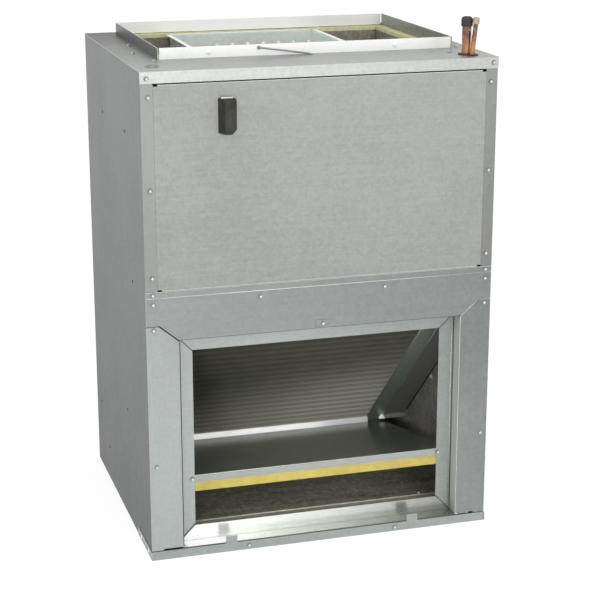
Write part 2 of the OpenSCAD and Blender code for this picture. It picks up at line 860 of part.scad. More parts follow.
// A plate that closes the gap beside the coil, with a fold along its foot
module blank_off() {
    right = coil_x0 - end_flange - seam;
    on_coil() {
        block([lined_x0, 0, 0], [right, coil_len, sheet]);
        block([lined_x0, 0, -blank_fold], [right, sheet, sheet]);
    }
}

module blank_off_left() {
    color(facing) seated() blank_off();
}

module blank_off_right() {
    color(facing) seated() to_right() blank_off();
}

// One folded sheet: a lip down the front, the sloping floor and an upturned back
module drain_pan() {
    color(galvanised) seated()
        bar_along_x(pan_side, cab_w - pan_side, [
            [pan_y, pan_z - pan_lip], [pan_y, pan_z], pan_point(pan_len - sheet, 0),
            pan_point(pan_len - sheet, pan_back_h), pan_point(pan_len, pan_back_h),
            pan_point(pan_len, -sheet), pan_point_behind(sheet, -sheet), [pan_y + sheet, pan_z - pan_lip]
        ]);
}

module pan_insulation() {
    low = -sheet - pan_board_t;
    front = sheet + seam / 2;
    color(glass_wool) seated()
        bar_along_x(pan_side, cab_w - pan_side, [
            pan_point_behind(front, -sheet), pan_point(pan_len, -sheet), pan_point(pan_len, low),
            pan_point_behind(front, low)
        ]);
}

// Refrigerant tubes

// Stands what is drawn along Z on the top plate, on the suction tube's axis
module on_suction() {
    translate([suction_x, tube_y, cab_h]) children();
}

// The same for the liquid tube, which stands in front of the suction tube and leans to the right
module on_liquid() {
    translate([liquid_x, liquid_y, cab_h]) rotate([0, liquid_lean, 0]) children();
}

// The outline of both tubes, grown by a wall, from a depth below the top plate's face to a height above it
module grommet_slot(low, high, wall) {
    for (at = [[suction_x, tube_y, suction_d], [liquid_x, liquid_y, liquid_d]])
        translate([at[0], at[1], cab_h + low]) cylinder(d = at[2] + 2 * wall, h = high - low);
}

module tube(d) {
    translate([0, 0, -tube_tail]) difference() {
        cylinder(d = d, h = tube_tail + tube_h);
        translate([0, 0, -overlap]) cylinder(d = d - 2 * tube_wall, h = tube_tail + tube_h + 2 * overlap);
    }
}

module suction_tube() {
    color(copper) seated() on_suction() tube(suction_d);
}

module liquid_tube() {
    color(copper) seated() on_liquid() tube(liquid_d);
}

// A cap with a rounded top, pushed over the end of a tube
module tube_cap(d, length) {
    r = d / 2 + cap_wall;
    turn = r * cap_round;
    top = [for (a = [0:15:90]) [r - turn + turn * cos(a), length - turn + turn * sin(a)]];
    translate([0, 0, tube_h + cap_wall - length]) difference() {
        rotate_extrude() polygon(concat([[0, 0], [r, 0]], top, [[0, length]]));
        translate([0, 0, -overlap]) cylinder(d = d, h = length - cap_wall + overlap);
    }
}

module suction_cap() {
    color(black_plastic) seated() on_suction() tube_cap(suction_d, cap_h);
}

module liquid_cap() {
    color(beige_plastic) seated() on_liquid() tube_cap(liquid_d, liquid_cap_h);
}

module tube_grommet() {
    low = -sheet - grommet_t;
    hole = grommet_t - low + 2 * overlap;
    color(black_plastic) seated() difference() {
        union() {
            grommet_slot(low, 0, grommet_wall);
            grommet_slot(0, grommet_t, grommet_rim);
        }
        on_suction() translate([0, 0, low - overlap]) cylinder(d = suction_d, h = hole);
        on_liquid() translate([0, 0, low - overlap]) cylinder(d = liquid_d, h = hole);
    }
}

base_pan();
front_base_rail();
left_side_panel();
right_side_panel();
back_panel();
top_panel();
access_panel();
panel_pull();
mid_rail();
return_header();
return_stile_left();
return_stile_right();
return_sill();
header_clip();
collar_front();
collar_back();
collar_left();
collar_right();
collar_stay();
plenum_deck();
plenum_boards();
duct_left();
duct_right();
duct_back();
duct_front();
heater_rail();
heater_bushings();
blower_scroll();
blower_cheek_left();
blower_cheek_right();
blower_wheel();
blower_motor();
liner_left();
liner_right();
liner_back();
floor_liner();
coil_fin_pack();
coil_end_plate_left();
coil_end_plate_right();
coil_foot_channel();
coil_top_baffle();
blank_off_left();
blank_off_right();
drain_pan();
pan_insulation();
suction_tube();
liquid_tube();
suction_cap();
liquid_cap();
tube_grommet();
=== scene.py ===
"""Looks of the upflow air handling unit: the finish of every sheet, board and tube, folded sheets with
rounded bends, the coil's fins and the small fasteners. Sizes are in millimetres from the front left
corner of the base, X to the right, Y to the back and Z up, and at() brings them into the frame."""
import math

import bmesh
import bpy
from mathutils import Matrix, Vector


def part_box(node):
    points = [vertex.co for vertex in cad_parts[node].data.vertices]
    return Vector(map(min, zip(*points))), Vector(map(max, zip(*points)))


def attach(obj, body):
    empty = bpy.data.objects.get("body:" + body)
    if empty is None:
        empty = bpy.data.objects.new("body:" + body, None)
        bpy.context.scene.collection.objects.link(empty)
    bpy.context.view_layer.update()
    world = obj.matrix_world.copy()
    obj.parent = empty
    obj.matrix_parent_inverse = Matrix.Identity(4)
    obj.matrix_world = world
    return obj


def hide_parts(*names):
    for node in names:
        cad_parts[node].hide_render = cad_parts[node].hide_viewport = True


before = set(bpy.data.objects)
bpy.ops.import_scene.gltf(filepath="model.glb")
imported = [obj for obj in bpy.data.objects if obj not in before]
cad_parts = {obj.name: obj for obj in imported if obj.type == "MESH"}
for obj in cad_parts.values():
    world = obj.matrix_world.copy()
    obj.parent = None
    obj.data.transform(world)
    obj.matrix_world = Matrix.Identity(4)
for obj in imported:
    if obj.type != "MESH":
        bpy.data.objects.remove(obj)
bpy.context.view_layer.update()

MM = 0.001
BODY = "root"

# Places taken from the frame
left_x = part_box("left_side_panel")[0].x
front_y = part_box("mid_rail")[0].y


def at(x, y, z):
    """A point of the unit in the frame."""
    return Vector((left_x + x * MM, front_y + y * MM, z * MM))


def span(node):
    """Lowest and highest corner of a node, in mm from the front left corner of the base."""
    low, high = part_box(node)
    corner = at(0, 0, 0)
    return (low - corner) / MM, (high - corner) / MM


CAB_W = span("right_side_panel")[1].x
CAB_D = span("back_panel")[1].y
CAB_H = span("top_panel")[1].z
SHEET = CAB_D - span("back_panel")[0].y


# Materials

def add(tree, kind, inputs=None, **settings):
    """A node with its input values and settings."""
    made = tree.nodes.new(kind)
    for key, value in settings.items():
        setattr(made, key, value)
    for key, value in (inputs or {}).items():
        made.inputs[key].default_value = value
    return made


def math_node(tree, operation, first, second):
    """A math node whose inputs are numbers or sockets."""
    made = add(tree, "ShaderNodeMath", operation=operation)
    for place, value in enumerate((first, second)):
        if isinstance(value, (int, float)):
            made.inputs[place].default_value = value
        else:
            tree.links.new(value, made.inputs[place])
    return made.outputs[0]


def object_place(tree):
    """Object coordinates."""
    return add(tree, "ShaderNodeTexCoord").outputs["Object"]


def part_of(tree, vector, axis):
    """One part of a vector: X, Y or Z."""
    made = add(tree, "ShaderNodeSeparateXYZ")
    tree.links.new(vector, made.inputs[0])
    return made.outputs[axis]


def stretched(tree, vector, factors):
    """A vector with each part times a factor. The factors are three numbers or a socket."""
    made = add(tree, "ShaderNodeVectorMath", operation="MULTIPLY")
    tree.links.new(vector, made.inputs[0])
    if isinstance(factors, bpy.types.NodeSocket):
        tree.links.new(factors, made.inputs[1])
    else:
        made.inputs[1].default_value = factors
    return made.outputs[0]


def mix_colours(tree, factor, first, second, blend="MIX"):
    """A colour mix whose inputs are colours or sockets."""
    made = add(tree, "ShaderNodeMix", data_type="RGBA", blend_type=blend)
    for socket, value in ((made.inputs[0], factor), (made.inputs[6], first), (made.inputs[7], second)):
        if isinstance(value, bpy.types.NodeSocket):
            tree.links.new(value, socket)
        elif isinstance(value, (int, float)):
            socket.default_value = value
        else:
            socket.default_value = (*value, 1.0)
    return made.outputs[2]


def ramp(tree, value, low, high):
    """Maps a value from low to high onto 0 to 1, with smooth ends."""
    made = add(
        tree, "ShaderNodeMapRange", {"From Min": low, "From Max": high}, interpolation_type="SMOOTHSTEP")
    tree.links.new(value, made.inputs["Value"])
    return made.outputs["Result"]


def new_group(name, inputs, outputs):
    """An empty shader group with float, colour and vector sockets."""
    kinds = {float: "NodeSocketFloat", tuple: "NodeSocketColor", Vector: "NodeSocketVector"}
    tree = bpy.data.node_groups.new(name, "ShaderNodeTree")
    for label, value in inputs.items():
        socket = tree.interface.new_socket(label, in_out="INPUT", socket_type=kinds[type(value)])
        socket.default_value = value
    for label, kind in outputs.items():
        tree.interface.new_socket(label, in_out="OUTPUT", socket_type=kinds[kind])
    return tree, tree.nodes.new("NodeGroupInput").outputs, tree.nodes.new("NodeGroupOutput").inputs


def noise(tree, vector, scale, detail=3.0, roughness=0.55):
    """Soft noise from 0 to 1."""
    made = add(tree, "ShaderNodeTexNoise", {"Scale": scale, "Detail": detail, "Roughness": roughness})
    tree.links.new(vector, made.inputs["Vector"])
    return made.outputs["Fac"]


def centred(tree, value, strength):
    """A 0 to 1 value as a swing of the given strength about zero."""
    return math_node(tree, "MULTIPLY", math_node(tree, "SUBTRACT", value, 0.5), strength)


# The palest that a zinc coat gets
ZINC_WHITE = 0.93


def zinc_group():
    """Zinc coat of a galvanised sheet: crystal flakes, rolling streaks along the grain and soft clouds, and a
    painted gradient of light and shade across the sheet.
    """
    tree, given, out = new_group(
        "zinc_coat",
        {"Tone": (0.5, 0.5, 0.5, 1.0), "Contrast": 1.0, "Roughness": 0.4,
         "Grain": Vector((6.0, 6.0, 420.0)), "Painted Light Drift": Vector((0.0, 0.0, 0.0))},
        {"Color": tuple, "Roughness": float, "Height": float},
    )
    where = object_place(tree)
    flakes = []
    for scale in (150.0, 420.0):
        cells = add(tree, "ShaderNodeTexVoronoi", {"Scale": scale, "Randomness": 1.0})
        tree.links.new(where, cells.inputs["Vector"])
        flakes.append(add(tree, "ShaderNodeSeparateColor"))
        tree.links.new(cells.outputs["Color"], flakes[-1].inputs["Color"])
    streak = noise(tree, stretched(tree, where, given["Grain"]), 1.0, 4.0, 0.6)
    cloud = noise(tree, where, 5.5, 4.0, 0.6)
    fine = noise(tree, where, 900.0, 2.0)
    swing = centred(tree, flakes[0].outputs["Red"], 0.10)
    for value, strength in ((flakes[1].outputs["Green"], 0.09), (streak, 0.22), (cloud, 0.28), (fine, 0.10)):
        swing = math_node(tree, "ADD", swing, centred(tree, value, strength))
    swing = math_node(tree, "MULTIPLY", swing, given["Contrast"])
    # Painted light and shade: the tone drifts paler towards the light and darker away from it
    painted_light_drift = add(tree, "ShaderNodeVectorMath", operation="DOT_PRODUCT")
    tree.links.new(where, painted_light_drift.inputs[0])
    tree.links.new(given["Painted Light Drift"], painted_light_drift.inputs[1])
    share = math_node(tree, "ADD", math_node(tree, "ADD", swing, 1.0), painted_light_drift.outputs["Value"])
    tint = add(tree, "ShaderNodeVectorMath", operation="SCALE")
    tree.links.new(given["Tone"], tint.inputs[0])
    tree.links.new(share, tint.inputs["Scale"])
    capped = add(tree, "ShaderNodeVectorMath", {1: (ZINC_WHITE,) * 3}, operation="MINIMUM")
    tree.links.new(tint.outputs[0], capped.inputs[0])
    tree.links.new(capped.outputs[0], out["Color"])
    dull = math_node(tree, "ADD", given["Roughness"], math_node(tree, "MULTIPLY", swing, -0.35))
    tree.links.new(dull, out["Roughness"])
    relief = math_node(tree, "MULTIPLY", math_node(tree, "ADD", fine, streak), 0.5)
    tree.links.new(relief, out["Height"])
    return tree


def fibre_group():
    """Matted glass fibres: short strands crossing in three directions, and soft clumps."""
    tree, given, out = new_group(
        "matted_fibre", {"Size": Vector((1.0, 1.0, 1.0))},
        {"Strands": float, "Clumps": float, "Height": float},
    )
    where = object_place(tree)
    sized = stretched(tree, where, given["Size"])
    strands = None
    for stretch in ((90.0, 700.0, 700.0), (700.0, 90.0, 700.0), (520.0, 640.0, 110.0)):
        lines = noise(tree, stretched(tree, sized, stretch), 1.0, 2.0, 0.5)
        strands = lines if strands is None else math_node(tree, "MAXIMUM", strands, lines)
    clumps = noise(tree, sized, 38.0, 5.0, 0.65)
    tree.links.new(ramp(tree, strands, 0.45, 0.75), out["Strands"])
    tree.links.new(ramp(tree, clumps, 0.3, 0.7), out["Clumps"])
    tree.links.new(math_node(tree, "ADD", strands, clumps), out["Height"])
    return tree


ZINC = zinc_group()
FIBRE = fibre_group()


def new_material(name, inputs):
    """A material with one Principled shader; returns the material, its tree and its shader."""
    made = bpy.data.materials.new(name)
    made.use_nodes = True
    shader = made.node_tree.nodes["Principled BSDF"]
    for key, value in inputs.items():
        shader.inputs[key].default_value = value
    return made, made.node_tree, shader


def place_group(tree, group, inputs):
    """A shader group with its input values; returns its outputs."""
    made = add(tree, "ShaderNodeGroup", node_tree=group)
    for key, value in inputs.items():
        made.inputs[key].default_value = value
    return made.outputs


def bump(tree, shader, height, strength, distance):
    """Fine relief on a shader."""
    made = add(tree, "ShaderNodeBump", {"Strength": strength, "Distance": distance})
    tree.links.new(height, made.inputs["Height"])
    tree.links.new(made.outputs["Normal"], shader.inputs["Normal"])


# How closely the rolling streaks lie along each axis, for sheets rolled along X or Z
ALONG_X = (6.0, 6.0, 420.0)
ALONG_Z = (420.0, 420.0, 6.0)
ALONG_X_FLAT = (6.0, 420.0, 6.0)


def facing_mask(tree, axis):
    """1 where the surface faces along an axis, either way, else 0."""
    facing = part_of(tree, add(tree, "ShaderNodeNewGeometry").outputs["Normal"], axis)
    return ramp(tree, math_node(tree, "ABSOLUTE", facing, 0.0), 0.4, 0.6)


def galvanised(name, tone, roughness=0.4, contrast=1.0, grain=ALONG_X, metallic=0.75, painted_light_drift=(0.0, 0.0, 0.0),
               accent=None):
    """Galvanised sheet of a given tone at the frame's origin, with its rolling grain along one axis and a
    tone that drifts by a share per metre along each axis, a painted gradient of light and shade. An accent
    is an axis and a tone, for the faces that look along that axis."""
    made, tree, shader = new_material(name, {"Metallic": metallic})
    coat = place_group(tree, ZINC, {
        "Tone": (*tone, 1.0), "Contrast": contrast, "Roughness": roughness, "Grain": grain, "Painted Light Drift": painted_light_drift})
    colour = coat["Color"]
    if accent:
        axis, other_tone = accent
        colour = mix_colours(tree, facing_mask(tree, axis), colour, other_tone)
    tree.links.new(colour, shader.inputs["Base Color"])
    tree.links.new(coat["Roughness"], shader.inputs["Roughness"])
    bump(tree, shader, coat["Height"], 0.12, 0.4 * MM)
    return made


def faced_board(name, facing, core, core_axis, size=(1.0, 1.0, 1.0), contrast=1.0, core_above=None):
    """Fibre board with a dark facing, and its cut core showing on the faces that look along one axis and,
    if a height is given, on every face above it. A size below 1 draws its pattern out along that axis."""
    made, tree, shader = new_material(name, {"Roughness": 0.85, "Specular IOR Level": 0.25})
    mat = place_group(tree, FIBRE, {"Size": size})
    dark = tuple(v * 0.45 for v in facing)
    pale = tuple(min(1.0, v * 2.1 + 0.02) for v in facing)
    skin = mix_colours(tree, mat["Clumps"], dark, facing)
    skin = mix_colours(tree, math_node(tree, "MULTIPLY", mat["Strands"], 0.55), skin, pale)
    cut = mix_colours(tree, mat["Clumps"], tuple(v * (1 - 0.28 * contrast) for v in core), core)
    fuzz = math_node(tree, "MULTIPLY", mat["Strands"], 0.4 * contrast)
    cut = mix_colours(tree, fuzz, cut, tuple(min(1.0, v * 1.3) for v in core))
    mask = facing_mask(tree, core_axis)
    if core_above is not None:
        height = part_of(tree, object_place(tree), "Z")
        band = ramp(tree, height, core_above * MM, (core_above + 1) * MM)
        mask = math_node(tree, "MAXIMUM", mask, band)
    colour = mix_colours(tree, mask, skin, cut)
    tree.links.new(colour, shader.inputs["Base Color"])
    bump(tree, shader, mat["Height"], 0.6, 1.2 * MM)
    return made


def moulded(name, colour, roughness, grain=0.5, shine=0.5):
    """Moulded plastic, rubber or ceramic with a fine grain and faint wear."""
    made, tree, shader = new_material(name, {"Specular IOR Level": shine})
    where = object_place(tree)
    fine = noise(tree, where, 1400.0, 2.0)
    worn = noise(tree, where, 60.0, 4.0, 0.65)
    pale = tuple(min(1.0, v * 1.5 + 0.012) for v in colour)
    tree.links.new(mix_colours(tree, ramp(tree, worn, 0.35, 0.75), colour, pale), shader.inputs["Base Color"])
    tree.links.new(math_node(tree, "ADD", roughness, centred(tree, worn, 0.25)), shader.inputs["Roughness"])
    bump(tree, shader, fine, grain, 0.15 * MM)
    return made


def tape_material():
    """Clear tape, a little milky where it is wrinkled."""
    made, tree, shader = new_material("clear_tape", {"Base Color": (0.85, 0.8, 0.72, 1.0), "Roughness": 0.15})
    wrinkles = noise(tree, object_place(tree), 260.0, 3.0)
    tree.links.new(ramp(tree, wrinkles, 0.45, 1.15), shader.inputs["Alpha"])
    bump(tree, shader, wrinkles, 0.5, 0.4 * MM)
    return made


def copper_material():
    """Drawn copper, darker and redder towards the capped ends, with drawing lines along the tubes."""
    made, tree, shader = new_material("drawn_copper", {"Metallic": 1.0})
    where = object_place(tree)
    lines = noise(tree, stretched(tree, where, (900.0, 900.0, 25.0)), 1.0, 3.0)
    stain = noise(tree, where, 70.0, 4.0, 0.65)
    top = ramp(tree, part_of(tree, where, "Z"), (CAB_H + 12) * MM, (CAB_H + 36) * MM)
    clean = mix_colours(tree, lines, (0.42, 0.24, 0.11), (0.6, 0.36, 0.18))
    aged = mix_colours(tree, ramp(tree, stain, 0.3, 0.7), (0.15, 0.075, 0.06), (0.33, 0.18, 0.145))
    colour = mix_colours(tree, math_node(tree, "MULTIPLY", top, 0.95), clean, aged)
    colour = mix_colours(tree, ramp(tree, stain, 0.55, 0.8), colour, (0.25, 0.13, 0.08))
    tree.links.new(colour, shader.inputs["Base Color"])
    tree.links.new(math_node(tree, "ADD", 0.28, centred(tree, stain, 0.3)), shader.inputs["Roughness"])
    bump(tree, shader, lines, 0.15, 0.2 * MM)
    return made


# The coil, as in the solids
COIL_TILT, COIL_FOOT_Y, COIL_FOOT_Z, COIL_T = 43.0, 378.0, 75.4, 66.0
ROWS, ROW_PITCH = 17, 25.4
COIL_LENGTH = ROWS * ROW_PITCH
# Its fins, with as many ripples as the photo's line spacing gives
RIPPLES, RIPPLE = 20, 1.8
RIPPLE_PITCH = COIL_LENGTH / RIPPLES
FIN_PITCH, FIN_T = 2.0, 0.3


def fin_material():
    """Aluminium fins with dust mottling on a dark base, partly painted shade of light trapped between them;
    painted shade between the ripples with lit lines along them, and painted light towards the lower right.
    """
    made, tree, shader = new_material("fin_metal", {"Metallic": 0.2})
    where = object_place(tree)
    lean = math.radians(COIL_TILT)
    along = Vector((0.0, -math.cos(lean), math.sin(lean)))
    up = add(tree, "ShaderNodeVectorMath", {1: along}, operation="DOT_PRODUCT")
    tree.links.new(where, up.inputs[0])
    foot = along.dot(at(0, COIL_FOOT_Y, COIL_FOOT_Z))
    climb = math_node(tree, "SUBTRACT", up.outputs["Value"], foot)
    ripples = math_node(tree, "DIVIDE", climb, RIPPLE_PITCH * MM)
    # Painted light and shade: lit lines along the ripples and darker bands between them
    line = ramp(tree, math_node(tree, "PINGPONG", ripples, 0.5), 0.3, 0.05)
    dust = noise(tree, where, 45.0, 4.0, 0.6)
    # The base tone is kept dark, partly dust and partly painted shade of light trapped between the fins
    plain = mix_colours(tree, ramp(tree, dust, 0.3, 0.7), (0.216, 0.212, 0.175), (0.3, 0.293, 0.245))
    # Painted light: paler towards the lower right, where light falls in through the opening
    across = math_node(tree, "MULTIPLY", part_of(tree, where, "X"), -0.7)
    lit_low_right = math_node(tree, "ADD", math_node(tree, "DIVIDE", ripples, RIPPLES), across)
    plain = mix_colours(tree, ramp(tree, lit_low_right, 0.68, 0.0), plain, (0.98, 0.95, 0.865))
    gaps = mix_colours(tree, 1.0, plain, (0.64, 0.64, 0.62), "MULTIPLY")
    lined = mix_colours(tree, line, gaps, plain)
    tree.links.new(lined, shader.inputs["Base Color"])
    tree.links.new(math_node(tree, "ADD", 0.45, centred(tree, dust, 0.3)), shader.inputs["Roughness"])
    bump(tree, shader, dust, 0.1, 0.3 * MM)
    return made


PANEL_TONE = (0.38, 0.395, 0.372)


def tone(share, tint=(1.0, 1.0, 1.0)):
    """A share of the panel's tone, tinted."""
    return tuple(v * share * t for v, t in zip(PANEL_TONE, tint))


COOL = (0.97, 1.0, 1.03)
# Each drift paints light and shade into a sheet's tone, paler towards the light at the upper left front
sheet_panel = galvanised("sheet_panel", tone(0.675), 0.46, painted_light_drift=(0.0, 0.0, 0.48))
# The left side panel's low tone is painted shade on a side turned away from the light; the right side takes
# sheet_back
sheet_side = galvanised("sheet_side", tone(0.31, COOL), 0.5, 0.8, ALONG_Z, painted_light_drift=(0.0, 0.0, 1.1))
sheet_back = galvanised("sheet_back", tone(0.75, COOL), 0.5, 0.9, ALONG_Z, painted_light_drift=(0.0, 0.0, 0.2))
sheet_header = galvanised("sheet_header", tone(0.7, COOL), 0.44, 0.7, painted_light_drift=(-0.45, 0.0, 0.0))
sheet_rail = galvanised("sheet_rail", tone(0.9, COOL), 0.44, 0.7)
# The stiles' steps that face sideways take a paler accent tone, a painted highlight
sheet_stile = galvanised("sheet_stile", tone(0.88, COOL), 0.44, 0.6, ALONG_Z, painted_light_drift=(-0.85, 0.0, -0.35),
                         accent=("X", tone(1.9)))
sheet_ring = galvanised("sheet_ring", tone(0.92, COOL), 0.44, 0.6, painted_light_drift=(-0.6, 0.0, 0.0))
# The sill's pale tone is a painted highlight of the light on its upward faces
sheet_sill = galvanised("sheet_sill", tone(1.75, (1.0, 1.0, 0.99)), 0.2, 0.6, painted_light_drift=(-2.5, 0.0, 0.0))
sheet_top = galvanised("sheet_top", tone(0.57), 0.4, 0.8, painted_light_drift=(0.1, -2.9, 0.0))
# The top panel's front faces take this paler tone, a painted highlight
sheet_front_lip = galvanised("sheet_front_lip", tone(1.45), 0.4, 0.8, painted_light_drift=(-0.45, 0.0, 0.0))
# The collar's sheets and dimples are painted near white, a highlight of the light on its front
sheet_collar = galvanised("sheet_collar", tone(2.5), 0.38, 0.8, metallic=0.45)
# The collar's left flange is darker than its right one: painted shade on a face turned away from the light
sheet_collar_left = galvanised("sheet_collar_left", tone(0.36), 0.38, 1.2, ALONG_Z)
sheet_collar_right = galvanised("sheet_collar_right", tone(0.8), 0.38, 1.2, ALONG_Z)
sheet_inner = galvanised("sheet_inner", tone(2.0), 0.36, 1.0)
sheet_end_plate = galvanised("sheet_end_plate", tone(1.45, (0.96, 1.04, 0.97)), 0.36, 1.0, ALONG_Z)
sheet_duct = galvanised("sheet_duct", tone(2.25, COOL), 0.4, 0.8)
# The coil's foot channel is painted near white, a highlight of the light that falls through the opening
sheet_foot = galvanised("sheet_foot", tone(2.5), 0.2, 0.3, metallic=0.4)
sheet_pan = galvanised("sheet_pan", (0.168, 0.195, 0.158), 0.2, 1.1, ALONG_X_FLAT, 0.55,
                       accent=("Y", tone(0.8)))
dark_sheet = galvanised("dark_sheet", (0.225, 0.225, 0.218), 0.5, 0.8, ALONG_X, 0.3)
# Pale bends, cut edges and seam lines: a painted highlight
edge_highlight = galvanised("edge_highlight", tone(1.8), 0.25, 0.3)
# Dark bends, creases and gaps: painted shade
crease_shade = galvanised("crease_shade", tone(0.3), 0.35, 0.3)
# Bends of both side panels, paler than the left side: a painted highlight along its corners
sheet_corner = galvanised("sheet_corner", tone(0.62), 0.35, 0.3)
# Bends and rims of the top panel, paler than its plate: a painted highlight; the end plates' hems take it too
sheet_lip = galvanised("sheet_lip", tone(1.1), 0.35, 0.3)
sheet_strip = galvanised("sheet_strip", tone(0.415), 0.42, 0.8, ALONG_Z, painted_light_drift=(-0.72, 0.0, 1.2))
# Screws: the darker washer is painted shade under the head, and the near-white dish on top a painted
# highlight
zinc_washer = galvanised("zinc_washer", (0.34, 0.345, 0.35), 0.3, 0.5, ALONG_X, 1.0)
zinc_head = galvanised("zinc_head", (0.5, 0.505, 0.51), 0.3, 0.5, ALONG_X, 1.0)
zinc_wire = galvanised("zinc_wire", (0.42, 0.425, 0.43), 0.3, 0.5, ALONG_X, 1.0)
zinc_rivet = galvanised("zinc_rivet", (0.1, 0.105, 0.11), 0.4, 0.5, ALONG_X, 0.8)
zinc_bright = galvanised("zinc_bright", (0.9, 0.9, 0.9), 0.22, 0.5, ALONG_X, 1.0)
liner_skin = faced_board("liner_skin", (0.2, 0.196, 0.18), (0.2, 0.18, 0.1), "Y", (1.0, 0.5, 0.5))
floor_skin = faced_board("floor_skin", (0.165, 0.16, 0.135), (0.3, 0.295, 0.23), "Y", (0.18, 0.8, 1.0))
plenum_board = faced_board("plenum_board", (0.19, 0.18, 0.147), (0.6, 0.6, 0.36), "Z",
                           core_above=span("plenum_boards")[1].z - 7)
yellow_wool = faced_board("yellow_wool", (0.375, 0.312, 0.086), (0.375, 0.312, 0.086), "Y", contrast=0.7)
black_pull = moulded("black_pull", (0.012, 0.0122, 0.008), 0.4, shine=0.38)
seam_shadow = moulded("seam_shadow", (0.012, 0.012, 0.011), 0.9, shine=0.1)
black_rubber = moulded("black_rubber", (0.018, 0.018, 0.016), 0.6)
beige_cap = moulded("beige_cap", (0.26, 0.215, 0.17), 0.5)
pin_plastic = moulded("pin_plastic", (0.75, 0.7, 0.45), 0.5)
glazed_ceramic = moulded("glazed_ceramic", (0.75, 0.68, 0.56), 0.3, 0.2)
clear_tape = tape_material()
dark_motor = moulded("dark_motor", (0.03, 0.032, 0.036), 0.45)
pale_facing = moulded("pale_facing", (0.5, 0.5, 0.43), 0.7)
copper = copper_material()
fin_metal = fin_material()

FINISH = {
    "access_panel": sheet_panel, "left_side_panel": sheet_side, "right_side_panel": sheet_back,
    "back_panel": sheet_back, "base_pan": sheet_back, "top_panel": sheet_top,
    "front_base_rail": sheet_rail, "mid_rail": sheet_header, "return_header": sheet_header,
    "return_stile_left": sheet_stile, "return_stile_right": sheet_stile, "return_sill": sheet_sill,
    "header_clip": sheet_header, "collar_front": sheet_collar, "collar_back": sheet_collar,
    "collar_left": sheet_collar_left, "collar_right": sheet_collar_right, "collar_stay": zinc_wire,
    "plenum_deck": sheet_inner, "duct_left": sheet_duct, "duct_right": sheet_duct,
    "duct_back": sheet_duct, "duct_front": sheet_duct, "heater_rail": sheet_inner,
    "blower_scroll": sheet_inner, "blower_cheek_left": sheet_inner, "blower_cheek_right": sheet_inner,
    "blower_wheel": sheet_inner, "blower_motor": dark_motor, "coil_fin_pack": fin_metal,
    "coil_end_plate_left": sheet_end_plate, "coil_end_plate_right": sheet_end_plate,
    "coil_foot_channel": sheet_foot, "coil_top_baffle": sheet_inner, "drain_pan": sheet_pan,
    "blank_off_left": dark_sheet, "blank_off_right": dark_sheet, "panel_pull": black_pull,
    "suction_cap": black_rubber, "tube_grommet": black_rubber, "liquid_cap": beige_cap,
    "heater_bushings": glazed_ceramic, "plenum_boards": plenum_board, "pan_insulation": yellow_wool,
    "liner_left": liner_skin, "liner_right": liner_skin, "liner_back": liner_skin,
    "floor_liner": floor_skin, "suction_tube": copper, "liquid_tube": copper,
}
for node_name, node_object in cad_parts.items():
    node_object.data.materials.clear()
    node_object.data.materials.append(FINISH[node_name])


# New pieces

def place_mesh(name, bm, *materials):
    """Turns a finished bmesh into an object of the scene."""
    mesh = bpy.data.meshes.new(name)
    bm.to_mesh(mesh)
    bm.free()
    for material in materials:
        mesh.materials.append(material)
    made = bpy.data.objects.new(name, mesh)
    bpy.context.scene.collection.objects.link(made)
    return made


def make_piece(name, bm, slot, *materials):
    """Turns a finished bmesh into a piece that rides on the unit."""
    piece = place_mesh(name, bm, *materials)
    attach(piece, BODY)
    return piece


WELD = 0.01 * MM
FLAT = math.radians(1)
SHARP = math.radians(35)


def copy_of(node):
    """A merged copy of a node's mesh, with flat faces joined."""
    bm = bmesh.new()
    bm.from_mesh(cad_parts[node].data)
    bm.transform(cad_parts[node].matrix_world)
    bmesh.ops.remove_doubles(bm, verts=bm.verts[:], dist=WELD)
    bmesh.ops.dissolve_limit(bm, angle_limit=FLAT, verts=bm.verts[:], edges=bm.edges[:])
    bmesh.ops.recalc_face_normals(bm, faces=bm.faces[:])
    return bm


def round_edges(bm, edges, radius, steps):
    """Rounds edges and smooths the new faces."""
    made = bmesh.ops.bevel(
        bm, geom=edges, offset=radius * MM, offset_type="OFFSET", segments=steps, profile=0.5,
        affect="EDGES", clamp_overlap=True, material=-1)
    for face in made["faces"]:
        face.smooth = True


# Faces narrower than this are cut edges, not sides of a fold
NARROW = 3.0 * SHEET * MM
# Radii of bends, and steps round them outside and inside
BEND, SIDE_BEND, SMALL_BEND, LEAST_BEND = 2.2, 4.0, 1.8, 0.4
OUTSIDE_STEPS, INSIDE_STEPS = 4, 3


def is_fold(edge):
    """True for an edge between two faces that are both wider than a cut edge of the sheet."""
    length = edge.calc_length()
    if len(edge.link_faces) != 2 or length < NARROW or edge.calc_face_angle() < SHARP:
        return False
    return min(face.calc_area() for face in edge.link_faces) / length > NARROW


def is_cut_edge(face):
    """True for the narrow face where a sheet ends."""
    width = face.calc_area() / max(edge.calc_length() for edge in face.edges)
    return 0.85 < width / (SHEET * MM) < 1.15


def folded(node, bend, slot="galvanised", bends=None, rims=None):
    """Gives a folded sheet round bends, outside and inside, and its bends and cut edges their own finish, by
    default a painted highlight.
    """
    bm = copy_of(node)
    outside = [e for e in bm.edges if is_fold(e) and e.is_convex]
    round_edges(bm, outside, bend, OUTSIDE_STEPS)
    inside = [e for e in bm.edges if is_fold(e) and not e.is_convex]
    round_edges(bm, inside, max(bend - SHEET, LEAST_BEND), INSIDE_STEPS)
    for face in bm.faces:
        if face.smooth:
            face.material_index = 1
        elif is_cut_edge(face):
            face.material_index = 2
    piece = make_piece(node + "_folded", bm, slot, FINISH[node], bends or edge_highlight, rims or edge_highlight)
    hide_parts(node)
    return piece


